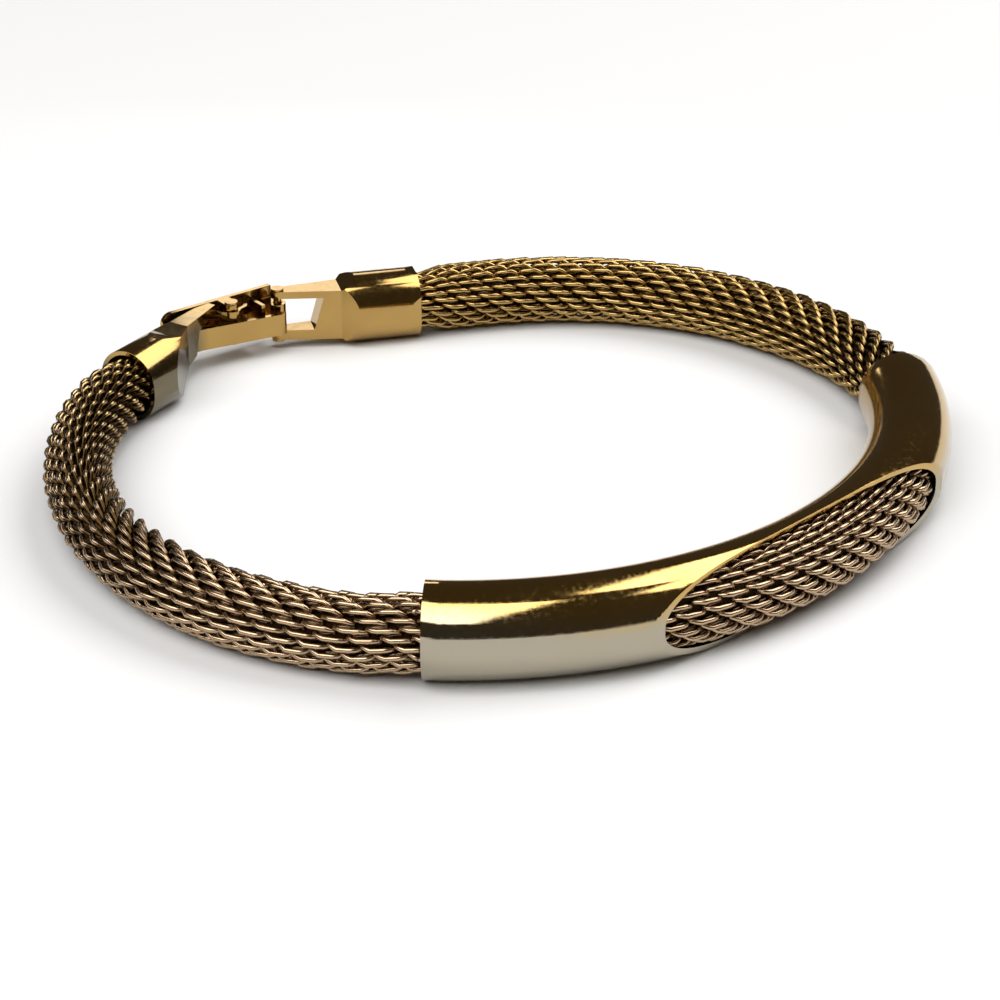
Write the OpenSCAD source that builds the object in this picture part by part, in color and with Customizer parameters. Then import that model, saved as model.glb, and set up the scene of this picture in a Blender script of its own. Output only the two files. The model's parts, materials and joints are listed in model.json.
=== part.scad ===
// Mesh rope bracelet with a curved bar and a lever clasp, lying on its side.
// Millimetres. Seen from above: +Y is away from the front bar, the clasp is at the back left.

/* [Mesh rope] */
// Height of the rope's oval section
rope_h = 5.5; // [4.6:0.1:5.6]
// Thickness of the rope, across the loop
rope_t = 5.1; // [4.2:0.05:5.15]
// Thickness of the woven wall round the hollow core
rope_wall = 1; // [0.5:0.1:1.8]
// How far the rope's axis lies below the bar's
rope_drop = 0.15; // [0:0.05:0.15]
// How far the rope's axis lies outside the bar's
rope_out = 0.1; // [0:0.05:0.1]
// Length over which the rope narrows towards a cap
pinch_l = 3; // [1:0.5:6]

/* [Bar] */
// Radius of the bar's centre line
bar_r = 33.2; // [29:0.1:40]
// Height of the bar's oval section
bar_h = 6.6; // [6.4:0.1:8]
// Thickness of the bar, across the loop
bar_t = 6.1; // [6:0.1:7.5]
// Wall of the bar's tube
bar_wall = 0.3; // [0.25:0.05:0.45]
// Angle at which the bar starts, from the +X side of the loop
bar_from = -93.6; // [-110:0.1:-80]
// Angle that the bar covers
bar_sweep = 99.3; // [70:0.1:110]

/* [Window in the bar] */
// Angle of the window's middle
window_at = -44.1; // [-60:0.1:-30]
// Radius of the wide cylinder that cuts the window nearly flat
window_r = 320; // [200:5:600]
// Depth of the cut at the window's middle
window_cut = 3.05; // [2:0.05:3.2]

/* [Clasp place] */
// Hinge axis, to the right of the bar's centre
clasp_x = -15.2; // [-17:0.1:-13]
// Hinge axis, behind the bar's centre
clasp_y = 19.45; // [17:0.05:24]
// Tongue's end, to the right of the hinge axis
tongue_x = -4; // [-4.1:0.02:-3.9]
// Tongue's end, behind the hinge axis
tongue_y = -3.35; // [-3.8:0.05:-3.3]
// Direction of the left cap, from its mouth to the tongue
left_turn = 58.5; // [57:0.5:63]
// Direction of the right cap, from the hinge to its mouth
right_turn = 14; // [8:0.5:20]
// Direction of the lever's plate
cover_turn = 38; // [37:0.5:39]
// Direction of the strip behind the hinge
strip_turn = 26.5; // [24:0.5:29]

/* [Caps] */
// Height of each cap's oval sleeve
cap_h = 5.7; // [5.6:0.05:6.4]
// Thickness of each sleeve, across the loop
cap_t = 5.1; // [5:0.05:5.8]
// Wall of a sleeve round the rope's end
cap_wall = 0.35; // [0.25:0.05:0.5]
// Length of rope inside a sleeve
cap_seat = 2.6; // [1.5:0.1:2.8]
// Gap between metal pieces that fit together
fit_gap = 0.06; // [0.04:0.01:0.08]

/* [Left cap] */
// Straight length of the left sleeve
left_sleeve_l = 2.9; // [2.7:0.1:6]
// Length of the slope from the left sleeve to the tongue
shoulder_l = 4.95; // [4:0.05:8]
// Length of the tongue
tongue_l = 4.6; // [4:0.1:6]
// Thickness of the tongue's end
tongue_t = 0.7; // [0.5:0.05:0.75]
// Distance of the tongue's end outside the left cap's axis
tongue_out = 1.2; // [1:0.05:1.25]
// Height of the tongue at its tip
prong_h = 0.6; // [0.4:0.05:0.9]
// Distance from the tip to the fork of the tongue and the strip
fork_at = 3.3; // [3:0.1:3.8]
// Height of the tongue
tongue_h = 4.05; // [3.6:0.05:4.4]

/* [Strip] */
// Height of the strip
strip_h = 1.8; // [1.5:0.05:2]
// How far the strip's middle lies below the caps' axis
strip_drop = 0.15; // [0:0.05:0.3]
// Thickness of the sheet that the strip is bent from
sheet_t = 0.45; // [0.3:0.05:0.55]
// Distance from the hinge axis to the strip's outer face
strip_off = 1.5; // [1.3:0.05:1.6]
// Length of the strip's straight part
strip_l = 8.3; // [7.6:0.1:8.6]
// Outer radius of the strip's rounded end
strip_bend = 0.6; // [0.5:0.05:0.7]
// Distance from the hinge axis to the middle of the strip's rounded end
strip_end = 0.45; // [0.2:0.05:0.7]
// Length of the block that takes the catch pin, along the strip
block_l = 2.1; // [1.7:0.1:2.4]
// Depth of the block behind the strip
block_d = 1.2; // [0.9:0.05:1.3]
// Clearance of the catch pin in the block's notch
notch_gap = 0.1; // [0.06:0.01:0.15]

/* [Catch spring] */
// Thickness of the spring's sheet
spring_t = 0.32; // [0.2:0.02:0.34]
// Length over which the spring's start is cut low to clear the tongue's tip
spring_tuck = 0.6; // [0.5:0.05:0.9]
// Distance from the hinge axis to the spring's turned end
hook_at = 2; // [1.6:0.1:2.2]
// How far the turned end reaches towards the wrist, from the hinge axis
hook_in = 0.75; // [0.3:0.05:0.9]
// How far the turned end reaches below the cap's axis
hook_drop = 0.7; // [0:0.1:1]

/* [Frame] */
// Height of the frame
frame_h = 4.2; // [4:0.05:4.6]
// Thickness of the frame at the hinge
frame_t = 1.1; // [1:0.05:1.2]
// Thickness of the frame where it meets the neck
neck_t = 2.5; // [1.8:0.1:3.2]
// Length of the neck's flare
neck_l = 1.3; // [0.8:0.1:1.6]
// Height of the frame's opening
open_h = 2.75; // [2.3:0.1:2.8]
// Length of the opening's upper edge, from the hinge axis
open_l = 3.6; // [3.4:0.1:4.3]
// Height of the opening's middle above the frame's
open_lift = 0.12; // [0:0.02:0.2]
// How much shorter the opening is at its lower edge
open_slant = 0.8; // [0:0.1:1.4]
// Distance from the hinge axis to the right sleeve
frame_l = 6.3; // [5.7:0.1:8]
// Length of the right sleeve
right_sleeve_l = 5.1; // [4.5:0.1:8]
// Length of the bevel round the right sleeve's mouth
rim_l = 0.9; // [0.3:0.1:1.5]
// How far the bevel draws the mouth in
rim_in = 0.2; // [0.1:0.02:0.24]

/* [Lever] */
// Height of the plate
cover_h = 4; // [3.8:0.05:4.3]
// Thickness of the plate
cover_t = 0.4; // [0.3:0.05:0.45]
// Distance from the hinge axis to the plate's outer face
cover_off = 1.77; // [1.74:0.01:1.9]
// Length of the plate, from the hinge axis to its free end
cover_l = 10; // [8.5:0.1:10.6]
// Radius of the plate's free corners
cover_corner = 0.9; // [0.4:0.1:1.4]
// Length of the plate past the hinge axis
cover_heel = 0.3; // [0:0.05:0.35]
// Diameter of the hinge pin
hinge_d = 0.65; // [0.5:0.05:0.7]
// Wall of the knuckle round the hinge pin
knuckle_wall = 0.3; // [0.2:0.05:0.35]
// Height of the knuckle
knuckle_h = 2; // [1.6:0.1:2.2]
// Distance of the catch pin from the hinge axis, along the plate
catch_at = 4.3; // [3.9:0.05:4.4]
// Distance of the catch pin's axis inside the plate
catch_in = 1.2; // [1.1:0.05:1.3]
// Diameter of the catch pin
catch_d = 0.7; // [0.5:0.05:0.75]
// Diameter of the pins' heads
head_d = 1.05; // [0.9:0.05:1.1]
// Height of the pins' heads
head_h = 0.15; // [0.1:0.05:0.2]
// Width of each ear
ear_w = 1.1; // [1.05:0.05:1.2]
// Thickness of the upper ear
ear_t = 0.45; // [0.35:0.05:0.5]
// Thickness of the lower ear
low_ear_t = 0.3; // [0.25:0.05:0.35]
// Clearance round a riveted pin
rivet_gap = 0.02; // [0.01:0.01:0.04]

/* [Hidden] */
$fn = 72;
// Sides of the rope's section
sides = 20;
// Overlap of a cut with the face that it opens
eps = 0.01;
// Share of a mesh stretch's chord by which each end runs straight on before it turns
left_reach = [0.335, 0.485];
right_reach = [0.317, 0.53];
// Angle by which the mesh leaves each cap's axis
left_lean = 5.3;
right_lean = 9.3;
// Share of a mesh stretch in which the rope rises from the ground to a mouth
rise = 0.08;
// Number of rings in the left stretch, in the bar and in the right stretch
left_rings = 24;
bar_rings = 24;
right_rings = 23;

bar_z = bar_h / 2;
cap_z = cap_h / 2;
rope_z = rope_h / 2;
hinge = [clasp_x, clasp_y];
left_l = left_sleeve_l + shoulder_l + tongue_l;
right_l = frame_l + right_sleeve_l;
cover_face = cover_off - cover_t;
knuckle_r = hinge_d / 2 + fit_gap + knuckle_wall;
// Catch pin, from the hinge axis, with the plate along X
catch_pos = [-catch_at, cover_face - catch_in];
// How much the rope's half height and half thickness shrink inside a cap
pinch_h = (rope_h - cap_h) / 2 + cap_wall + fit_gap;
pinch_t = (rope_t - cap_t) / 2 + cap_wall + fit_gap;

function dir(a) = [cos(a), sin(a)];
function turn(p, a) = [p.x * cos(a) - p.y * sin(a), p.x * sin(a) + p.y * cos(a)];
function ease(t) = t * t * (3 - 2 * t);
function clamp(t) = min(1, max(0, t));

// Mouths of the caps and ends of the bar
left_mouth = hinge + [tongue_x, tongue_y] - left_l * dir(left_turn);
right_mouth = hinge + right_l * dir(right_turn);
rope_r = bar_r + rope_out;
bar_start = rope_r * dir(bar_from);
bar_end = rope_r * dir(bar_from + bar_sweep);

// Height of the rope's axis between a cap (0) and the bar (1): it lies on the ground between them.
function mesh_z(t) =
    let (
        near_cap = (cap_z - rope_z) * (1 - ease(clamp(t / rise))),
        near_bar = (bar_z - rope_drop - rope_z) * ease(clamp((t - 1 + rise) / rise))
    ) rope_z + near_cap + near_bar;

// A smooth stretch from p to q that leaves along angle a and arrives along angle b.
function bend(p, a, q, b, reach, t) =
    let (
        chord = norm(q - p),
        p1 = p + reach[0] * chord * dir(a),
        q1 = q - reach[1] * chord * dir(b),
        s = 1 - t
    ) s * s * s * p + 3 * s * s * t * p1 + 3 * s * t * t * q1 + t * t * t * q;
function bend_angle(p, a, q, b, reach, t) =
    let (d = bend(p, a, q, b, reach, min(1, t + eps)) - bend(p, a, q, b, reach, max(0, t - eps))) atan2(d.y, d.x);

// Each ring: x, y, z, direction of travel, pinch
function ring(p, z, a, pinch) = [p.x, p.y, z, a, pinch];
left_ring = [
    for (i = [0 : left_rings - 1])
        let (
            t = i / left_rings,
            leave = left_turn + left_lean + 180,
            p = bend(left_mouth, leave, bar_start, bar_from + 90, left_reach, t),
            a = bend_angle(left_mouth, leave, bar_start, bar_from + 90, left_reach, t)
        ) ring(p, mesh_z(t), a, 1 - ease(clamp(norm(p - left_mouth) / pinch_l)))
];
bar_ring = [
    for (i = [0 : bar_rings])
        let (a = bar_from + bar_sweep * i / bar_rings) ring(rope_r * dir(a), bar_z - rope_drop, a + 90, 0)
];
right_ring = [
    for (i = [1 : right_rings])
        let (
            t = i / right_rings,
            leave = bar_from + bar_sweep + 90,
            arrive = right_turn + right_lean + 180,
            p = bend(bar_end, leave, right_mouth, arrive, right_reach, t),
            a = bend_angle(bar_end, leave, right_mouth, arrive, right_reach, t)
        ) ring(p, mesh_z(1 - t), a, 1 - ease(clamp(norm(p - right_mouth) / pinch_l)))
];
left_seat = ring(left_mouth + cap_seat * dir(left_turn), cap_z, left_turn + 180, 1);
right_seat = ring(right_mouth - cap_seat * dir(right_turn), cap_z, right_turn + 180, 1);
rings = concat([left_seat], left_ring, bar_ring, right_ring, [right_seat]);

// The middle of the whole loop, seen from above, comes to the origin.
outline = concat(
    [for (r = rings) [r[0], r[1]] + rope_t / 2 * dir(r[3] - 90)],
    [for (r = bar_ring) [r[0], r[1]] + (bar_t / 2 - rope_out) * dir(r[3] - 90)]
);
xs = [for (p = outline) p.x];
ys = [for (p = outline) p.y];
middle = [max(xs) + min(xs), max(ys) + min(ys)] / 2;

// Points of one ring of the rope, on its outside or on the inside of its wall.
function ring_points(r, inset) = [
    for (j = [0 : sides - 1])
        let (
            a = 360 * j / sides,
            out = (rope_t / 2 - inset - r[4] * pinch_t) * cos(a),
            up = (rope_h / 2 - inset - r[4] * pinch_h) * sin(a)
        ) [r[0] + out * sin(r[3]), r[1] - out * cos(r[3]), r[2] + up]
];

module placed() {
    translate([-middle.x, -middle.y, 0]) children();
}

module at_hinge(angle) {
    placed() translate([hinge.x, hinge.y, cap_z]) rotate([0, 0, angle]) children();
}

module at_tongue() {
    placed() translate([hinge.x + tongue_x, hinge.y + tongue_y, cap_z]) rotate([0, 0, left_turn]) children();
}

// An outline seen from above, raised to a height and centred on it
module slab(height, corners) {
    translate([0, 0, -height / 2]) linear_extrude(height) polygon(corners);
}

// An outline seen from the wrist's side, as deep as needed
module side_slab(corners) {
    rotate([90, 0, 0]) translate([0, 0, -cap_t]) linear_extrude(2 * cap_t) polygon(corners);
}

// Oval with round ends, taller than it is wide
module oval(width, height) {
    for (side = [-1, 1]) translate([0, side * (height - width) / 2]) circle(d = width);
    square([width, height - width], center = true);
}

// Oval rod along +X
module oval_rod(length, width, height) {
    rotate([90, 0, 90]) linear_extrude(length) oval(width, height);
}

module mesh_rope() {
    n = len(rings);
    skin = [for (r = rings) each ring_points(r, 0)];
    core = [for (r = rings) each ring_points(r, rope_wall)];
    inside = n * sides;
    wall = [
        for (k = [0 : n - 2], j = [0 : sides - 1])
            let (a = k * sides + j, b = k * sides + (j + 1) % sides)
                each [
                    [a, b, a + sides], [b, b + sides, a + sides], [inside + b, inside + a, inside + a + sides],
                    [inside + b, inside + a + sides, inside + b + sides]
                ]
    ];
    last = (n - 1) * sides;
    ends = [
        for (j = [0 : sides - 1])
            let (a = j, b = (j + 1) % sides)
                each [
                    [b, a, inside + a], [b, inside + a, inside + b], [last + a, last + b, inside + last + a],
                    [last + b, inside + last + b, inside + last + a]
                ]
    ];
    color("darkgoldenrod") placed() polyhedron(concat(skin, core), concat(wall, ends));
}

module bar_tube() {
    outer_r = bar_r + bar_t / 2;
    cut_at = outer_r - window_cut - window_r;
    color("silver") placed() difference() {
        translate([0, 0, bar_z]) rotate([0, 0, bar_from]) rotate_extrude(angle = bar_sweep, $fn = 180)
            translate([bar_r, 0]) difference() {
                oval(bar_t, bar_h);
                oval(bar_t - 2 * bar_wall, bar_h - 2 * bar_wall);
            }
        rotate([0, 0, window_at]) difference() {
            translate([0, -outer_r, -eps]) cube([2 * outer_r, 2 * outer_r, bar_h + 2 * eps]);
            translate([cut_at, 0, -2 * eps]) cylinder(r = window_r, h = bar_h + 4 * eps, $fn = 360);
        }
    }
}

module left_cap() {
    tip_in = tongue_out - tongue_t / 2;
    tip_out = tongue_out + tongue_t / 2;
    shoulder = -tongue_l - shoulder_l;
    top = cap_h / 2 + eps;
    side = cap_t / 2 + eps;
    color("goldenrod") {
        at_tongue() difference() {
            intersection() {
                translate([-left_l, 0, 0]) oval_rod(left_l, cap_t, cap_h);
                slab(3 * cap_h, [
                    [-left_l - eps, -side], [shoulder, -side], [-tongue_l, tip_in - tongue_t], [0, tip_in],
                    [0, tip_out], [-tongue_l, side], [-left_l - eps, side]
                ]);
                side_slab([
                    [-left_l - eps, -top], [shoulder, -top], [-fork_at, -strip_h / 2 - strip_drop],
                    [-fork_at + prong_h, tongue_h / 2 - 2 * prong_h], [0, tongue_h / 2 - prong_h],
                    [0, tongue_h / 2], [-tongue_l, tongue_h / 2], [shoulder, top], [-left_l - eps, top]
                ]);
            }
            sleeve_hollow(-left_l - eps);
        }
        strip();
    }
}

// Hollow in which a cap holds the rope, from x along +X
module sleeve_hollow(x) {
    translate([x, 0, 0]) oval_rod(cap_seat + fit_gap + eps, cap_t - 2 * cap_wall, cap_h - 2 * cap_wall);
}

// The strip from the tongue to the hinge, with its rounded end and the block that takes the catch pin
module strip() {
    face = -strip_off - sheet_t;
    pin = turn(catch_pos, cover_turn - strip_turn);
    notch_r = catch_d / 2 + notch_gap;
    at_hinge(strip_turn) translate([0, 0, -strip_drop]) {
        translate([-strip_end - strip_l, face, -strip_h / 2]) cube([strip_l, sheet_t, strip_h]);
        translate([-strip_end, face + strip_bend, 0]) intersection() {
            difference() {
                cylinder(r = strip_bend, h = strip_h, center = true);
                cylinder(r = strip_bend - sheet_t, h = 2 * strip_h, center = true);
            }
            translate([-eps, -2 * strip_bend, -strip_h]) cube([2 * strip_bend, 2 * strip_bend, 2 * strip_h]);
        }
        difference() {
            translate([pin.x - block_l / 2, -strip_off - eps, -strip_h / 2]) cube([block_l, block_d, strip_h]);
            translate([pin.x, pin.y, 0]) {
                cylinder(r = notch_r, h = 2 * strip_h, center = true);
                translate([-notch_r, 0, -strip_h]) cube([2 * notch_r, block_d, 2 * strip_h]);
            }
        }
    }
}

// Outline of a bent sheet of even thickness along a line of points
function ribbon(line, thickness) =
    let (
        n = len(line),
        side = [
            for (i = [0 : n - 1])
                let (d = line[min(n - 1, i + 1)] - line[max(0, i - 1)]) thickness / 2 * [-d.y, d.x] / norm(d)
        ]
    ) concat([for (i = [0 : n - 1]) line[i] + side[i]], [for (i = [n - 1 : -1 : 0]) line[i] - side[i]]);

// The leaf beside the catch pin: it runs from the tongue round the pin and along the plate to a turned end.
module catch_spring() {
    cradle_r = catch_d / 2 + notch_gap + spring_t / 2;
    back = cover_face - fit_gap - spring_t / 2;
    low = strip_h / 2 - strip_drop + fit_gap;
    high = cover_h / 2 - ear_t - fit_gap;
    line = concat(
        [catch_pos + [-2.6, 1.1] * cradle_r, catch_pos + [-1.9, 0.5] * cradle_r],
        [for (a = [205 : 21 : 331]) catch_pos + cradle_r * dir(a)],
        [
            catch_pos + [2.1, -0.1] * cradle_r, catch_pos + [2.6, 0.7] * cradle_r,
            [catch_pos.x + 2.8 * cradle_r, back - spring_t], [catch_pos.x + 3.1 * cradle_r, back],
            [-hook_at + spring_t / 2, back]
        ]
    );
    // The leaf's start is lower, so that it clears the underside of the tongue's tip.
    under_tip = tongue_h / 2 - prong_h - spring_tuck * prong_h / (fork_at - prong_h) - fit_gap;
    color("tan") difference() {
        at_hinge(cover_turn) {
            translate([0, 0, low]) linear_extrude(high - low) polygon(ribbon(line, spring_t));
            translate([-hook_at, -hook_in, -hook_drop])
                cube([spring_t, back + spring_t / 2 + hook_in, high + hook_drop]);
        }
        at_tongue() translate([-spring_tuck, -cap_t, under_tip]) cube([spring_tuck + fit_gap, 2 * cap_t, tongue_h]);
    }
}

module cover_lever() {
    low_ear = -strip_h / 2 - strip_drop - fit_gap - low_ear_t / 2;
    color("goldenrod") at_hinge(cover_turn) difference() {
        union() {
            translate([0, cover_off, 0]) rotate([90, 0, 0]) linear_extrude(cover_t) cover_plate();
            // Knuckle and its web
            cylinder(r = knuckle_r, h = knuckle_h, center = true);
            translate([-knuckle_r, 0, -knuckle_h / 2]) cube([knuckle_r + cover_heel, cover_face + eps, knuckle_h]);
            ear((cover_h - ear_t) / 2, ear_t);
            ear(low_ear, low_ear_t);
        }
        cylinder(r = hinge_d / 2 + fit_gap, h = cover_h, center = true);
        translate([catch_pos.x, catch_pos.y, 0]) cylinder(r = catch_d / 2 + rivet_gap, h = 2 * cover_h, center = true);
    }
}

// An ear that holds one end of the catch pin, in the lever's frame
module ear(z, thickness) {
    translate([catch_pos.x, catch_pos.y, z]) {
        cylinder(d = ear_w, h = thickness, center = true);
        translate([-ear_w / 2, 0, -thickness / 2]) cube([ear_w, catch_in + eps, thickness]);
    }
}

// The lever's plate, with round corners at its free end
module cover_plate() {
    reach = cover_l + cover_heel;
    translate([-cover_l, -cover_h / 2 + cover_corner]) square([reach, cover_h - 2 * cover_corner]);
    translate([-cover_l + cover_corner, -cover_h / 2]) square([reach - cover_corner, cover_h]);
    for (side = [-1, 1]) translate([-cover_l + cover_corner, side * (cover_h / 2 - cover_corner)]) circle(cover_corner);
}

// A pin from z = low to z = high with a round head on its upper end
module headed_pin(diameter, low, high) {
    translate([0, 0, low]) cylinder(d = diameter, h = high - low + rivet_gap);
    translate([0, 0, high + rivet_gap]) cylinder(d = head_d, h = head_h);
}

module catch_pin() {
    foot = -strip_h / 2 - strip_drop - fit_gap - low_ear_t;
    color("khaki") at_hinge(cover_turn) translate([catch_pos.x, catch_pos.y, 0]) headed_pin(catch_d, foot, cover_h / 2);
}

module hinge_pin() {
    color("khaki") at_hinge(right_turn) {
        headed_pin(hinge_d, 0, frame_h / 2);
        mirror([0, 0, 1]) headed_pin(hinge_d, 0, frame_h / 2);
    }
}

module right_cap() {
    neck = frame_l - neck_l;
    top = cap_h / 2 + eps;
    side = cap_t / 2 + eps;
    low = open_lift - open_h / 2;
    high = open_lift + open_h / 2;
    color("goldenrod") at_hinge(right_turn) difference() {
        union() {
            cylinder(d = frame_t, h = frame_h, center = true);
            intersection() {
                oval_rod(right_l, cap_t, cap_h);
                slab(3 * cap_h, [
                    [0, -frame_t / 2], [neck, -0.58 * neck_t], [frame_l, -side], [right_l - rim_l, -side],
                    [right_l + eps, -side + rim_in], [right_l + eps, side - rim_in],
                    [right_l - rim_l, side], [frame_l, side], [neck, 0.42 * neck_t], [0, frame_t / 2]
                ]);
                side_slab([
                    [0, -frame_h / 2], [neck, -frame_h / 2], [frame_l, -top], [right_l - rim_l, -top],
                    [right_l + eps, -top + rim_in], [right_l + eps, top - rim_in],
                    [right_l - rim_l, top], [frame_l, top], [neck, frame_h / 2], [0, frame_h / 2]
                ]);
            }
        }
        side_slab([[-frame_t, low], [open_l - open_slant, low], [open_l, high], [-frame_t, high]]);
        cylinder(r = hinge_d / 2 + rivet_gap, h = 2 * frame_h, center = true);
        mirror([1, 0, 0]) sleeve_hollow(-right_l - eps);
    }
}

mesh_rope();
bar_tube();
left_cap();
catch_spring();
cover_lever();
catch_pin();
hinge_pin();
right_cap();
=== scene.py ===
"""Looks of a mesh rope bracelet with a polished curved bar and a lever clasp, lying on its side."""

import json
import math

import bpy
import numpy as np
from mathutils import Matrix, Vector


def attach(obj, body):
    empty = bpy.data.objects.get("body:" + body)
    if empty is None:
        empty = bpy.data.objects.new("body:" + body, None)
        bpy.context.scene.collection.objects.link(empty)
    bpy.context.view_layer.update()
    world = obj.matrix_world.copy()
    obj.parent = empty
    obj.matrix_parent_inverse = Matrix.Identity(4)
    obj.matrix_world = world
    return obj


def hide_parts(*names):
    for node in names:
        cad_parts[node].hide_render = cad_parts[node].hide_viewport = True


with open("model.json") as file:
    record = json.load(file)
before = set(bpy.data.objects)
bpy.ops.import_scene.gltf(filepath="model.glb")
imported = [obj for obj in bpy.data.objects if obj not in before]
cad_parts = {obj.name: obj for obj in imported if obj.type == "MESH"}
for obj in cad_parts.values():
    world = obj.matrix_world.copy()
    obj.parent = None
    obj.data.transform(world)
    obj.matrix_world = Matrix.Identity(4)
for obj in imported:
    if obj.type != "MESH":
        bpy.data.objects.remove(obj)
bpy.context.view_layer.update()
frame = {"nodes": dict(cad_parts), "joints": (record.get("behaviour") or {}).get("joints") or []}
nodes = frame["nodes"]
scene = bpy.context.scene
MM = 0.001

# Camera, as the photo was taken: its distance and target in mm, and its focal length in the photo's pixels
CAMERA_TILT = math.radians(27)
CAMERA_DISTANCE = 207.9
CAMERA_TARGET = (-0.07, -3.79, 0.0)
PHOTO_WIDTH = 1000
FOCAL_PIXELS = 2854
SENSOR_WIDTH = 36
# What it can see, in metres
NEAREST = 0.005
FARTHEST = 10

# Path of the rope in mm, seen from above. The lever's hinge gives its place
HINGE = np.array(frame["joints"][0]["pos_m"][:2]) / MM
HINGE_FROM_BAR_CENTRE = np.array([-15.2, 19.45])
BAR_CENTRE = HINGE - HINGE_FROM_BAR_CENTRE
# The rope's middle in the bar, and then the bar's own middle
BAR_RADIUS = 33.3
BAR_MIDDLE_RADIUS = 33.2
BAR_MIDDLE_HEIGHT = 3.3
BAR_FROM = -93.6
BAR_SWEEP = 99.3
# Left cap: the tip of its tongue from the hinge, and the lengths of its sleeve, shoulder and tongue
TONGUE_FROM_HINGE = np.array([-4.0, -3.35])
LEFT_CAP_LENGTH = 2.9 + 4.95 + 4.6
LEFT_CAP_ANGLE = 58.5
LEFT_MESH_ANGLE = LEFT_CAP_ANGLE + 5.3
# Right cap: the lengths of its frame, from the hinge, and of its sleeve
RIGHT_CAP_LENGTH = 6.3 + 5.1
RIGHT_CAP_ANGLE = 14.0
RIGHT_MESH_ANGLE = RIGHT_CAP_ANGLE + 9.3
# Shares of the straight distance over which a free stretch keeps the direction of its start and of its end
LEFT_REACH = (0.335, 0.485)
RIGHT_REACH = (0.317, 0.53)
# Length of rope in a cap, and the height of the rope's middle in the caps and in the bar
CAP_SEAT = 2.5
CAP_Z = 2.85
BAR_Z = 3.15
# Share of a free stretch over which it comes down to the table
RISE = 0.08
# Length over which the rope narrows towards a cap, and by how much
PINCH_LENGTH = 3.0
PINCH = 0.42
STRETCH_STEPS = 300
SEAT_STEPS = 20

# Mesh: flattened coils of round wire that wind round the rope, each hooked in the next
ROPE_HEIGHT = 5.5
ROPE_THICKNESS = 5.1
# Links round the rope, and coils that wind side by side
ROWS = 24
COILS = 10
WIRE = 0.36
WIRE_SIDES = 6
PITCH_FREE = 2.05
PITCH_STANDING = 1.9
# The links stand on end along the left bend, and partly beside the bar's far end
BEND_STANDS = 17
BEND_FADES = 22
BESIDE_BAR = 0.6
BESIDE_BAR_FADES = 14
# Angle at which the links lean in under their neighbours
LEAN_FREE = 4
LEAN_STANDING = 56
# No two links of a worn rope lie quite alike: mm along and mm of depth
UNEVEN_ALONG = 0.035
UNEVEN_DEPTH = 0.02
FIRST_SEED = 7
# Less light gets down between links that stand on end
SHADE_STANDING = 6
# Distance from a link's middle to the end of its outer strand, about which it leans
LINK_REACH = 0.42
# One link, from the left end of its outer strand: mm along, mm of depth, and share of a row crossed
LINK_LYING = (
    (-0.42, 0.0, 0.0),
    (0.0, 0.0, 0.0),
    (0.42, 0.0, 0.02),
    (0.62, 0.12, 0.1),
    (0.76, 0.32, 0.22),
    (0.8, 0.5, 0.32),
    (0.6, 0.62, 0.38),
    (0.0, 0.64, 0.46),
    (-0.6, 0.62, 0.54),
    (-0.8, 0.5, 0.62),
    (-0.76, 0.32, 0.76),
    (-0.62, 0.12, 0.92),
)
LINK_STANDING = (
    (-0.36, 0.0, 0.0),
    (0.0, 0.0, 0.0),
    (0.36, 0.0, 0.02),
    (0.56, 0.08, 0.1),
    (0.64, 0.28, 0.2),
    (0.56, 0.48, 0.3),
    (0.3, 0.57, 0.36),
    (0.0, 0.57, 0.42),
    (-0.3, 0.54, 0.48),
    (-0.58, 0.47, 0.56),
    (-0.64, 0.26, 0.72),
    (-0.54, 0.06, 0.9),
)
# The rope's dark inside, a skin whose dark colour is painted shade: its depth below the rope's surface, and
# how far its ends stay from the rope's
INSIDE_DEPTH = 1.0
INSIDE_SHORT = 0.3
INSIDE_SIDES = 32
INSIDE_STEPS = 420
UP = np.array([0.0, 0.0, 1.0])


def to_linear(hex_colour):
    """The linear colour of an sRGB hex value."""
    out = []
    for i in (0, 2, 4):
        v = int(hex_colour[i : i + 2], 16) / 255
        out.append(v / 12.92 if v <= 0.04045 else ((v + 0.055) / 1.055) ** 2.4)
    return (*out, 1.0)


def add_node(tree, kind, settings=(), inputs=()):
    """A shader node with its settings, and its inputs as values or as sockets to link."""
    node = tree.nodes.new(kind)
    for name, value in dict(settings).items():
        setattr(node, name, value)
    for name, value in dict(inputs).items():
        if isinstance(value, bpy.types.NodeSocket):
            tree.links.new(value, node.inputs[name])
        else:
            node.inputs[name].default_value = value
    return node


def new_material(name, settings):
    """A material with a Principled surface, and its tree."""
    material = bpy.data.materials.new(name)
    material.use_nodes = True
    tree = material.node_tree
    surface = tree.nodes["Principled BSDF"]
    for key, value in settings.items():
        surface.inputs[key].default_value = value
    return material, tree, surface


# Path


def heading(angle):
    """The level direction at an angle in degrees."""
    return np.array([math.cos(math.radians(angle)), math.sin(math.radians(angle))])


def ease(t):
    """From 0 to 1 with a soft start and end."""
    t = np.clip(t, 0, 1)
    return t * t * (3 - 2 * t)


def stretch(p, leave, q, arrive, reach):
    """Points of a free stretch of rope from p to q, and the share of it that each has covered."""
    chord = np.linalg.norm(q - p)
    p1 = p + reach[0] * chord * heading(leave)
    q1 = q - reach[1] * chord * heading(arrive)
    t = np.linspace(0, 1, STRETCH_STEPS)[:, None]
    s = 1 - t
    return s**3 * p + 3 * s * s * t * p1 + 3 * s * t * t * q1 + t**3 * q, t[:, 0]


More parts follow.
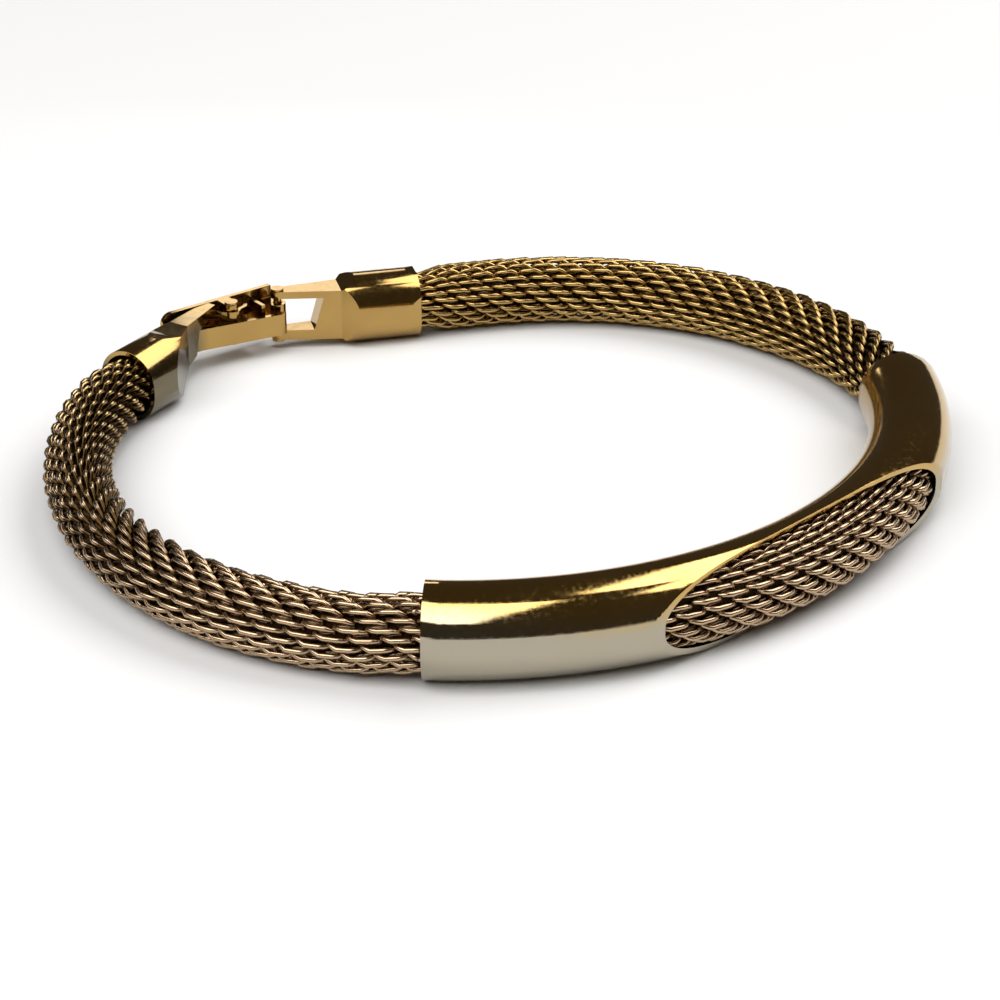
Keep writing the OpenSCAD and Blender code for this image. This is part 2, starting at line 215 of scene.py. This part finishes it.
def rope_path():
    """The rope's line in mm, the distance of each point along it, and of both mouths and the bar's ends."""
    left_mouth = HINGE + TONGUE_FROM_HINGE - LEFT_CAP_LENGTH * heading(LEFT_CAP_ANGLE)
    right_mouth = HINGE + RIGHT_CAP_LENGTH * heading(RIGHT_CAP_ANGLE)
    bar_start = BAR_CENTRE + BAR_RADIUS * heading(BAR_FROM)
    bar_end = BAR_CENTRE + BAR_RADIUS * heading(BAR_FROM + BAR_SWEEP)
    rope_z = ROPE_HEIGHT / 2

    def height(t):
        near_cap = (CAP_Z - rope_z) * (1 - ease(t / RISE))
        near_bar = (BAR_Z - rope_z) * ease((t - 1 + RISE) / RISE)
        return rope_z + near_cap + near_bar

    bar_to = BAR_FROM + BAR_SWEEP
    left, t = stretch(left_mouth, LEFT_MESH_ANGLE + 180, bar_start, BAR_FROM + 90, LEFT_REACH)
    left = np.column_stack([left, height(t)])
    angles = np.linspace(BAR_FROM, bar_to, STRETCH_STEPS)[1:-1]
    bar = np.array([[*(BAR_CENTRE + BAR_RADIUS * heading(a)), BAR_Z] for a in angles])
    right, t = stretch(bar_end, bar_to + 90, right_mouth, RIGHT_MESH_ANGLE + 180, RIGHT_REACH)
    right = np.column_stack([right, height(1 - t)])
    seat_left = [*(left_mouth + CAP_SEAT * heading(LEFT_CAP_ANGLE)), CAP_Z]
    seat_right = [*(right_mouth - CAP_SEAT * heading(RIGHT_CAP_ANGLE)), CAP_Z]
    first = np.linspace(seat_left, left[0], SEAT_STEPS)[:-1]
    last = np.linspace(right[-1], seat_right, SEAT_STEPS)[1:]
    points = np.vstack([first, left, bar, right, last])
    along = np.concatenate([[0], np.cumsum(np.linalg.norm(np.diff(points, axis=0), axis=1))])
    past_left = len(first) + len(left)
    marks = along[[len(first), past_left - 1, past_left + len(bar), len(points) - len(last) - 1]]
    return points, along, marks


ROPE, ALONG, (MOUTH_AT_LEFT, BAR_AT, BAR_END_AT, MOUTH_AT_RIGHT) = rope_path()


def on_rope(distance):
    """Place, outward side and pinch at each distance along the rope."""
    # The direction is taken over this many mm to each side
    near = 0.4
    place = np.column_stack([np.interp(distance, ALONG, ROPE[:, k]) for k in range(3)])
    ahead = np.column_stack([np.interp(distance + near, ALONG, ROPE[:, k]) for k in range(3)])
    behind = np.column_stack([np.interp(distance - near, ALONG, ROPE[:, k]) for k in range(3)])
    run = ahead - behind
    run /= np.linalg.norm(run, axis=1)[:, None]
    side = np.column_stack([run[:, 1], -run[:, 0], np.zeros(len(run))])
    side /= np.linalg.norm(side, axis=1)[:, None]
    from_cap = np.minimum(np.abs(distance - MOUTH_AT_LEFT), np.abs(distance - MOUTH_AT_RIGHT))
    inside = (distance < MOUTH_AT_LEFT) | (distance > MOUTH_AT_RIGHT)
    pinch = np.where(inside, 1.0, 1 - ease(from_cap / PINCH_LENGTH)) * PINCH
    return place, side, pinch


def standing_at(distance):
    """How far the links stand on end, from 0, lying, to 1, fully on end."""
    left_bend = 1 - ease((distance - MOUTH_AT_LEFT - BEND_STANDS) / BEND_FADES)
    past_bar = distance - BAR_END_AT
    beside_bar = BESIDE_BAR * (past_bar > 0) * (1 - ease(past_bar / BESIDE_BAR_FADES))
    return np.maximum(left_bend, beside_bar)


def pitch_at(distance):
    """Distance between the coils: a little closer where the links stand on end."""
    return PITCH_FREE + (PITCH_STANDING - PITCH_FREE) * standing_at(distance)


def coil_line(coil):
    """The line of one coil from cap to cap: points, outward directions, depths and distances along the rope.

    Each link leans: its end towards the left cap stands out, and the other end goes in under the next link.
    """
    grid_steps = 4000
    grid = np.linspace(0, ALONG[-1], grid_steps)
    turns_before = np.concatenate([[0], np.cumsum(np.diff(grid) / pitch_at((grid[1:] + grid[:-1]) / 2))])
    step = COILS / ROWS
    rows = np.arange(math.ceil(-coil / step), int((turns_before[-1] - coil) / step))[:, None]
    centre = np.interp(coil + step * rows, turns_before, grid)
    onward = np.interp(coil + step * (rows + 1), turns_before, grid)
    standing = standing_at(centre)
    lying_link, standing_link = np.array(LINK_LYING).T[:, None], np.array(LINK_STANDING).T[:, None]
    along, deep, crossed = lying_link + (standing_link - lying_link) * standing
    lean = np.radians(LEAN_FREE + (LEAN_STANDING - LEAN_FREE) * standing)
    distance = centre + (onward - centre) * crossed - LINK_REACH
    distance = distance + (along + LINK_REACH) * np.cos(lean) - deep * np.sin(lean)
    sunk = (along + LINK_REACH) * np.sin(lean) + deep * np.cos(lean)
    sunk -= sunk.min(axis=1)[:, None]
    uneven = np.random.default_rng(FIRST_SEED + coil)
    distance = distance + uneven.normal(0, UNEVEN_ALONG, rows.shape)
    sunk = np.maximum(sunk + uneven.normal(UNEVEN_DEPTH, UNEVEN_DEPTH, rows.shape), 0)
    # Painted shade: this depth, made steeper where links stand on end, darkens the wire's colour
    depth = (sunk * (1 + SHADE_STANDING * standing)).ravel()
    sunk = sunk.ravel()
    row = (rows + crossed).ravel()
    distance = np.clip(distance.ravel(), 0, ALONG[-1])
    place, side, pinch = on_rope(distance)
    angle = -2 * math.pi * row / ROWS
    wide = ROPE_THICKNESS / 2 - WIRE / 2 - pinch - sunk
    tall = ROPE_HEIGHT / 2 - WIRE / 2 - pinch - sunk
    points = place + side * (wide * np.cos(angle))[:, None] + UP * (tall * np.sin(angle))[:, None]
    out = side * np.cos(angle)[:, None] + UP * np.sin(angle)[:, None]
    return points, out, depth, distance


def tube_mesh(lines):
    """Vertices, faces and depths of round wire along each line."""
    verts, faces, depths, start = [], [], [], 0
    turn = 2 * math.pi * np.arange(WIRE_SIDES) / WIRE_SIDES
    # Keeps a length of nought from being divided by
    tiny = 1e-9
    for points, out, depth in lines:
        run = np.gradient(points, axis=0)
        run /= np.linalg.norm(run, axis=1)[:, None] + tiny
        across = np.cross(run, out)
        across /= np.linalg.norm(across, axis=1)[:, None] + tiny
        over = np.cross(across, run)
        ring = (
            points[:, None]
            + WIRE / 2 * np.cos(turn)[None, :, None] * over[:, None]
            + WIRE / 2 * np.sin(turn)[None, :, None] * across[:, None]
        )
        n = len(points)
        verts.append(ring.reshape(-1, 3))
        depths.append(np.repeat(depth, WIRE_SIDES))
        a = start + np.arange(n - 1)[:, None] * WIRE_SIDES + np.arange(WIRE_SIDES)[None]
        b = start + np.arange(n - 1)[:, None] * WIRE_SIDES + (np.arange(WIRE_SIDES)[None] + 1) % WIRE_SIDES
        quads = np.stack([a, b, b + WIRE_SIDES, a + WIRE_SIDES], axis=-1).reshape(-1, 4)
        faces.extend(quads.tolist())
        faces.append((start + np.arange(WIRE_SIDES))[::-1].tolist())
        faces.append((start + (n - 1) * WIRE_SIDES + np.arange(WIRE_SIDES)).tolist())
        start += n * WIRE_SIDES
    return np.vstack(verts), faces, np.concatenate(depths)


def new_piece(name, verts, faces, material, depth=None):
    """A smooth piece from vertices in mm."""
    mesh = bpy.data.meshes.new(name)
    mesh.from_pydata((verts * MM).tolist(), [], faces)
    if depth is not None:
        mesh.attributes.new("depth", "FLOAT", "POINT").data.foreach_set("value", depth.astype(np.float32))
    mesh.shade_smooth()
    mesh.materials.append(material)
    piece = bpy.data.objects.new(name, mesh)
    scene.collection.objects.link(piece)
    return piece


def rope_inside(material):
    """The inner turns of the wire lie so close that nothing shows through them: they are one skin, painted
    dark as shade.
    """
    distance = np.linspace(INSIDE_SHORT, ALONG[-1] - INSIDE_SHORT, INSIDE_STEPS)
    place, side, pinch = on_rope(distance)
    inset = INSIDE_DEPTH + pinch
    angle = 2 * math.pi * np.arange(INSIDE_SIDES) / INSIDE_SIDES
    verts = (
        place[:, None]
        + side[:, None] * ((ROPE_THICKNESS / 2 - inset)[:, None] * np.cos(angle))[..., None]
        + UP * ((ROPE_HEIGHT / 2 - inset)[:, None] * np.sin(angle))[..., None]
    )
    i = np.arange(len(distance) - 1)[:, None] * INSIDE_SIDES
    j = np.arange(INSIDE_SIDES)[None]
    k = (j + 1) % INSIDE_SIDES
    quads = np.stack([i + j, i + INSIDE_SIDES + j, i + INSIDE_SIDES + k, i + k], axis=-1).reshape(-1, 4)
    last = (len(distance) - 1) * INSIDE_SIDES
    ends = [list(range(INSIDE_SIDES)), [last + s for s in reversed(range(INSIDE_SIDES))]]
    piece = new_piece("mesh_inside", verts.reshape(-1, 3), quads.tolist() + ends, material)
    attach(piece, "bracelet")


def woven_rope(material):
    """The rope in three lengths: up to the bar, in the bar, and past the bar."""
    coils = [coil_line(c) for c in range(COILS)]
    cuts = (
        ("mesh_left", -math.inf, BAR_AT),
        ("mesh_in_bar", BAR_AT, BAR_END_AT),
        ("mesh_right", BAR_END_AT, math.inf),
    )
    for name, low, high in cuts:
        lines = []
        for points, out, depth, distance in coils:
            middle = distance[1 :: len(LINK_LYING)]
            turn = np.repeat((middle >= low) & (middle < high), len(LINK_LYING))
            found = np.nonzero(turn)[0]
            # One point more than found, so that each length meets the next
            keep = slice(found[0], found[-1] + 2)
            lines.append((points[keep], out[keep], depth[keep]))
        verts, faces, depths = tube_mesh(lines)
        piece = new_piece(name, verts, faces, material, depths)
        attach(piece, "bracelet")
    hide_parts("mesh_rope")


# Materials


def bronze_wire():
    """Brass wire with a worn bronze-gold plate, and painted shade: its colour turns dark brown the deeper
    the wire lies in the weave.
    """
    # Painted shade: depth, in mm where the links lie, down to which the wire keeps its full colour, and from
    # which it is painted dark
    bright_to, dark_from = 0.25, 1.0
    # The front is a pinkish bronze, the back more golden, and noisy patches blur the two
    bronze_at, gold_at = -14 * MM, 12 * MM
    patch, blur = 4 * MM, 12 * MM
    grime_grain = 0.4 * MM
    material, tree, surface = new_material("bronze_gold_plated_wire", {"Metallic": 1.0, "Roughness": 0.22})
    coords = add_node(tree, "ShaderNodeTexCoord")
    depth = add_node(tree, "ShaderNodeAttribute", {"attribute_name": "depth"})
    shade = add_node(
        tree,
        "ShaderNodeMapRange",
        inputs={"Value": depth.outputs["Fac"], "From Min": bright_to, "From Max": dark_from},
    )
    place = add_node(tree, "ShaderNodeSeparateXYZ", inputs={"Vector": coords.outputs["Object"]})
    worn = add_node(
        tree,
        "ShaderNodeTexNoise",
        inputs={"Vector": coords.outputs["Object"], "Scale": 1 / patch, "Detail": 3.0},
    )
    drift = add_node(
        tree, "ShaderNodeMapRange", inputs={"Value": worn.outputs["Fac"], "To Min": -blur, "To Max": blur}
    )
    toward_back = add_node(
        tree, "ShaderNodeMath", {"operation": "ADD"}, {0: place.outputs["Y"], 1: drift.outputs["Result"]}
    )
    gilded = add_node(
        tree,
        "ShaderNodeMapRange",
        inputs={"Value": toward_back.outputs["Value"], "From Min": bronze_at, "From Max": gold_at},
    )
    plate = add_node(tree, "ShaderNodeMix", {"data_type": "RGBA"}, {"Factor": gilded.outputs["Result"]})
    plate.inputs["A"].default_value = to_linear("B89E80")
    plate.inputs["B"].default_value = to_linear("B4965E")
    # Painted shade: the plate's colour darkens to dark brown with the depth attribute
    colour = add_node(tree, "ShaderNodeMix", {"data_type": "RGBA"}, {"Factor": shade.outputs["Result"]})
    tree.links.new(plate.outputs["Result"], colour.inputs["A"])
    colour.inputs["B"].default_value = to_linear("40301A")
    tree.links.new(colour.outputs["Result"], surface.inputs["Base Color"])
    grime = add_node(
        tree,
        "ShaderNodeTexNoise",
        inputs={"Vector": coords.outputs["Object"], "Scale": 1 / grime_grain, "Detail": 3.0},
    )
    dull = add_node(
        tree, "ShaderNodeMapRange", inputs={"Value": grime.outputs["Fac"], "To Min": 0.14, "To Max": 0.34}
    )
    tree.links.new(dull.outputs["Result"], surface.inputs["Roughness"])
    return material


def shaded_wire():
    """The same wire deep in the rope, dull and dark brown, as little light gets in."""
    turn_width = 0.5 * MM
    relief = 0.2 * MM
    material, tree, surface = new_material("bronze_wire_in_shade", {"Metallic": 0.6, "Roughness": 0.6})
    weave = add_node(tree, "ShaderNodeTexNoise", inputs={"Scale": 1 / turn_width, "Detail": 3.0})
    colour = add_node(tree, "ShaderNodeMix", {"data_type": "RGBA"}, {"Factor": weave.outputs["Fac"]})
    colour.inputs["A"].default_value = to_linear("432A10")
    colour.inputs["B"].default_value = to_linear("6B4A20")
    tree.links.new(colour.outputs["Result"], surface.inputs["Base Color"])
    bump = add_node(tree, "ShaderNodeBump", inputs={"Height": weave.outputs["Fac"], "Distance": relief})
    tree.links.new(bump.outputs["Normal"], surface.inputs["Normal"])
    return material


def worn_bar_plate():
    """Gold plate over nickel silver, polished, then rubbed through where the bar meets sleeve and table.

    The gold is left on the top and the wrist's side. The outer face and the left end show the grey metal,
    with a speckled edge between the two and fine rubbing marks along the bar.
    """
    # Degrees in a turn of the gradients
    turn = 360
    # Along the bar, the grey reaches higher up at the left end, and then ends lower
    high_until, low_from, higher_by = 3 / turn, 18 / turn, 22 / turn
    ragged_by = 20 / turn
    # Up round the section from its outward side: where the gold starts, and where it is whole
    gold_starts, gold_whole = 6 / turn, 40 / turn
    # Towards the wrist from the bar's middle, in the same way
    inside_starts, inside_whole = -0.4 * MM, -1.6 * MM
    speckle_grain, mark_width, cloud_width = 0.3 * MM, 0.15 * MM, 5 * MM
    relief = 0.02 * MM
    material, tree, surface = new_material(
        "worn_gold_plate_on_nickel_silver", {"Metallic": 1.0, "Roughness": 0.07}
    )
    coords = add_node(tree, "ShaderNodeTexCoord")
    centre = (BAR_CENTRE[0] * MM, BAR_CENTRE[1] * MM, BAR_MIDDLE_HEIGHT * MM)
    place = add_node(
        tree, "ShaderNodeVectorMath", {"operation": "SUBTRACT"}, {0: coords.outputs["Object"], 1: centre}
    )
    parts = add_node(tree, "ShaderNodeSeparateXYZ", inputs={"Vector": place.outputs["Vector"]})
    level = add_node(
        tree, "ShaderNodeVectorMath", {"operation": "MULTIPLY"}, {0: place.outputs["Vector"], 1: (1, 1, 0)}
    )
    radius = add_node(tree, "ShaderNodeVectorMath", {"operation": "LENGTH"}, {0: level.outputs["Vector"]})
    outward = add_node(
        tree,
        "ShaderNodeMath",
        {"operation": "SUBTRACT"},
        {0: radius.outputs["Value"], 1: BAR_MIDDLE_RADIUS * MM},
    )
    section = add_node(
        tree, "ShaderNodeCombineXYZ", inputs={"X": outward.outputs["Value"], "Y": parts.outputs["Z"]}
    )
    # Turns round the loop and round the bar's section: 0.5 is outward, 0.75 is up
    along = add_node(
        tree, "ShaderNodeTexGradient", {"gradient_type": "RADIAL"}, {"Vector": place.outputs["Vector"]}
    )
    turned = add_node(
        tree, "ShaderNodeTexGradient", {"gradient_type": "RADIAL"}, {"Vector": section.outputs["Vector"]}
    )
    speckle = add_node(
        tree,
        "ShaderNodeTexNoise",
        inputs={
            "Vector": coords.outputs["Object"],
            "Scale": 1 / speckle_grain,
            "Detail": 5.0,
            "Roughness": 0.65,
        },
    )
    bar_start = 0.5 + BAR_FROM / turn
    near_end = add_node(
        tree,
        "ShaderNodeMapRange",
        inputs={
            "Value": along.outputs["Fac"],
            "From Min": bar_start + high_until,
            "From Max": bar_start + low_from,
            "To Min": higher_by,
            "To Max": 0.0,
        },
    )
    ragged = add_node(
        tree,
        "ShaderNodeMapRange",
        inputs={"Value": speckle.outputs["Fac"], "To Min": -ragged_by, "To Max": ragged_by},
    )
    edge = add_node(
        tree,
        "ShaderNodeMath",
        {"operation": "ADD"},
        {0: near_end.outputs["Result"], 1: ragged.outputs["Result"]},
    )
    above = add_node(
        tree,
        "ShaderNodeMath",
        {"operation": "SUBTRACT"},
        {0: turned.outputs["Fac"], 1: edge.outputs["Value"]},
    )
    gold_on_top = add_node(
        tree,
        "ShaderNodeMapRange",
        inputs={
            "Value": above.outputs["Value"],
            "From Min": 0.5 + gold_starts,
            "From Max": 0.5 + gold_whole,
        },
    )
    gold_inside = add_node(
        tree,
        "ShaderNodeMapRange",
        inputs={"Value": outward.outputs["Value"], "From Min": inside_starts, "From Max": inside_whole},
    )
    gold = add_node(
        tree,
        "ShaderNodeMath",
        {"operation": "MAXIMUM"},
        {0: gold_on_top.outputs["Result"], 1: gold_inside.outputs["Result"]},
    )
    cloud = add_node(
        tree,
        "ShaderNodeTexNoise",
        inputs={"Vector": coords.outputs["Object"], "Scale": 1 / cloud_width, "Detail": 2.0},
    )
    plate = add_node(tree, "ShaderNodeMix", {"data_type": "RGBA"}, {"Factor": cloud.outputs["Fac"]})
    plate.inputs["A"].default_value = to_linear("B8924E")
    plate.inputs["B"].default_value = to_linear("C8AA6C")
    colour = add_node(tree, "ShaderNodeMix", {"data_type": "RGBA"}, {"Factor": gold.outputs["Value"]})
    colour.inputs["A"].default_value = to_linear("A8A08E")
    tree.links.new(plate.outputs["Result"], colour.inputs["B"])
    tree.links.new(colour.outputs["Result"], surface.inputs["Base Color"])
    # Rubbing marks run round the loop, much longer than they are wide
    marks = add_node(
        tree,
        "ShaderNodeTexNoise",
        inputs={
            "Vector": section.outputs["Vector"],
            "Scale": 1 / mark_width,
            "Detail": 4.0,
            "Roughness": 0.7,
        },
    )
    haze = add_node(
        tree,
        "ShaderNodeMapRange",
        inputs={
            "Value": speckle.outputs["Fac"],
            "From Min": 0.45,
            "From Max": 0.75,
            "To Min": 0.05,
            "To Max": 0.2,
        },
    )
    tree.links.new(haze.outputs["Result"], surface.inputs["Roughness"])
    dents = add_node(
        tree, "ShaderNodeMath", {"operation": "ADD"}, {0: marks.outputs["Fac"], 1: speckle.outputs["Fac"]}
    )
    bump = add_node(
        tree,
        "ShaderNodeBump",
        inputs={"Height": dents.outputs["Value"], "Strength": 0.14, "Distance": relief},
    )
    tree.links.new(bump.outputs["Normal"], surface.inputs["Normal"])
    return material


def shade_low_on_sleeve(tree, coords, plate):
    """The plate's colour, with painted shade low on the side of the left cap's sleeve: dark grey that stands
    in for the shadowed floor it reflects there.
    """
    # Height, and distance along the cap, at which the painted grey shade starts, and at which it is whole
    low_starts, low_whole = 5.2 * MM, 4.0 * MM
    sleeve_starts, sleeve_whole = 4.2 * MM, 3.0 * MM
    place = add_node(tree, "ShaderNodeSeparateXYZ", inputs={"Vector": coords.outputs["Object"]})
    low = add_node(
        tree,
        "ShaderNodeMapRange",
        inputs={"Value": place.outputs["Z"], "From Min": low_starts, "From Max": low_whole},
    )
    along_cap = add_node(
        tree,
        "ShaderNodeVectorMath",
        {"operation": "DOT_PRODUCT"},
        {0: coords.outputs["Object"], 1: (*heading(LEFT_CAP_ANGLE), 0)},
    )
    on_sleeve = add_node(
        tree,
        "ShaderNodeMapRange",
        inputs={"Value": along_cap.outputs["Value"], "From Min": sleeve_starts, "From Max": sleeve_whole},
    )
    # Mask of the painted shade: low down, and on the sleeve only
    rubbed = add_node(
        tree,
        "ShaderNodeMath",
        {"operation": "MULTIPLY"},
        {0: low.outputs["Result"], 1: on_sleeve.outputs["Result"]},
    )
    colour = add_node(tree, "ShaderNodeMix", {"data_type": "RGBA"}, {"Factor": rubbed.outputs["Value"]})
    tree.links.new(plate.outputs["Result"], colour.inputs["A"])
    # Painted shade: dark grey for the shadowed floor that the sleeve reflects
    colour.inputs["B"].default_value = to_linear("6E6652")
    return colour


def polished_plate(name, shade_sleeve_low=False):
    """Gold plate polished to a mirror, with fine rubbing marks that break up the reflections a little."""
    roughness, hazier_by = 0.1, 0.12
    cloud_width, mark_grain, relief = 4 * MM, 0.5 * MM, 0.05 * MM
    material, tree, surface = new_material(name, {"Metallic": 1.0, "Roughness": roughness})
    coords = add_node(tree, "ShaderNodeTexCoord")
    cloud = add_node(
        tree,
        "ShaderNodeTexNoise",
        inputs={"Vector": coords.outputs["Object"], "Scale": 1 / cloud_width, "Detail": 3.0},
    )
    plate = add_node(tree, "ShaderNodeMix", {"data_type": "RGBA"}, {"Factor": cloud.outputs["Fac"]})
    plate.inputs["A"].default_value = to_linear("A28048")
    plate.inputs["B"].default_value = to_linear("B8985C")
    # Painted shade low on the left cap's sleeve
    if shade_sleeve_low:
        plate = shade_low_on_sleeve(tree, coords, plate)
    tree.links.new(plate.outputs["Result"], surface.inputs["Base Color"])
    rub = add_node(
        tree,
        "ShaderNodeTexNoise",
        inputs={
            "Vector": coords.outputs["Object"],
            "Scale": 1 / mark_grain,
            "Detail": 6.0,
            "Roughness": 0.7,
        },
    )
    haze = add_node(
        tree,
        "ShaderNodeMapRange",
        inputs={
            "Value": rub.outputs["Fac"],
            "From Min": 0.4,
            "From Max": 0.75,
            "To Min": roughness,
            "To Max": roughness + hazier_by,
        },
    )
    tree.links.new(haze.outputs["Result"], surface.inputs["Roughness"])
    bump = add_node(
        tree, "ShaderNodeBump", inputs={"Height": rub.outputs["Fac"], "Strength": 0.05, "Distance": relief}
    )
    tree.links.new(bump.outputs["Normal"], surface.inputs["Normal"])
    return material


def soften_edges(node, width):
    """Worn edges of a width in mm on a CAD node, wherever two faces meet at more than the smooth angle."""
    smooth_angle = 35
    weld = node.modifiers.new("weld", "WELD")
    weld.merge_threshold = 0.001 * MM
    bevel = node.modifiers.new("worn_edges", "BEVEL")
    bevel.width = width * MM
    bevel.segments = 3
    bevel.limit_method = "ANGLE"
    bevel.angle_limit = math.radians(smooth_angle)
    bevel.harden_normals = True


def dress_node(name, material, edge):
    """A CAD node in its material, with worn edges of a width in mm."""
    node = nodes[name]
    node.data.materials.clear()
    node.data.materials.append(material)
    soften_edges(node, edge)


# Stage


def make_camera():
    """The camera where the photo was taken from."""
    data = bpy.data.cameras.new("camera")
    data.sensor_width = SENSOR_WIDTH
    data.lens = data.sensor_width * FOCAL_PIXELS / PHOTO_WIDTH
    data.clip_start = NEAREST
    data.clip_end = FARTHEST
    camera = bpy.data.objects.new("camera", data)
    target = Vector(CAMERA_TARGET) * MM
    back = Vector((0, -math.cos(CAMERA_TILT), math.sin(CAMERA_TILT)))
    camera.location = target + back * CAMERA_DISTANCE * MM
    camera.rotation_euler = (-back).to_track_quat("-Z", "Y").to_euler()
    scene.collection.objects.link(camera)
    scene.camera = camera


def make_floor():
    """A plain white card under the bracelet."""
    reach = 3.0
    corners = [(-reach, -reach, 0), (reach, -reach, 0), (reach, reach, 0), (-reach, reach, 0)]
    mesh = bpy.data.meshes.new("floor")
    mesh.from_pydata(corners, [], [(0, 1, 2, 3)])
    settings = {"Base Color": (0.8, 0.8, 0.8, 1), "Roughness": 0.9, "Specular IOR Level": 0.1}
    material = new_material("white_card", settings)[0]
    mesh.materials.append(material)
    floor = bpy.data.objects.new("floor", mesh)
    scene.collection.objects.link(floor)


def softbox(name, place, turn, width, length, brightness):
    """A soft light at a place in metres, turned by Euler angles in degrees."""
    data = bpy.data.lights.new(name, "AREA")
    data.shape = "RECTANGLE"
    data.size = width
    data.size_y = length
    data.energy = brightness * math.pi * width * length
    light = bpy.data.objects.new(name, data)
    light.visible_camera = False
    light.location = place
    light.rotation_euler = [math.radians(a) for a in turn]
    scene.collection.objects.link(light)


def make_lights():
    """Soft panels, and a dim warm room that the metal reflects, while the camera sees white."""
    panel, reflector = 3.8, 2.2
    # One panel overhead at the left, and two at the right that stand back from it
    softbox("overhead_left", (-0.36, -0.4, 0.6), (0, 0, -7), 0.9, 0.75, panel)
    softbox("overhead_right", (0.565, 0.35, 0.6), (0, 0, 0), 0.87, 0.6, panel)
    softbox("overhead_right_front", (0.64, -0.04, 0.6), (0, 0, 0), 0.72, 0.18, panel)
    # A small reflector low behind the clasp lights the clasp's upper faces and misses the bar
    softbox("behind_clasp", (-0.0215, 0.085, 0.035), (-90, 0, 0), 0.025, 0.018, reflector)
    world = bpy.data.worlds.new("room")
    world.use_nodes = True
    tree = world.node_tree
    ground = tree.nodes["Background"]
    ground.inputs["Color"].default_value = (0.06, 0.05, 0.036, 1)
    seen = add_node(tree, "ShaderNodeBackground")
    seen.inputs["Color"].default_value = (1, 1, 1, 1)
    path = add_node(tree, "ShaderNodeLightPath")
    mix = add_node(tree, "ShaderNodeMixShader")
    tree.links.new(path.outputs["Is Camera Ray"], mix.inputs["Fac"])
    tree.links.new(ground.outputs["Background"], mix.inputs[1])
    tree.links.new(seen.outputs["Background"], mix.inputs[2])
    tree.links.new(mix.outputs["Shader"], tree.nodes["World Output"].inputs["Surface"])
    scene.world = world


make_camera()
make_floor()
make_lights()
scene.view_settings.view_transform = "Standard"

woven_rope(bronze_wire())
rope_inside(shaded_wire())
bar_plate = worn_bar_plate()
clasp_plate = polished_plate("polished_gold_plate")
# The left cap's plate has a painted grey shade low on its sleeve
left_cap_plate = polished_plate("polished_gold_plate_shaded_low", shade_sleeve_low=True)
# Each node with the width of its worn edges in mm
dress_node("bar_tube", bar_plate, 0.08)
dress_node("left_cap", left_cap_plate, 0.14)
dress_node("right_cap", clasp_plate, 0.2)
dress_node("cover_lever", clasp_plate, 0.1)
for small_piece in ("catch_spring", "catch_pin", "hinge_pin"):
    dress_node(small_piece, clasp_plate, 0.03)
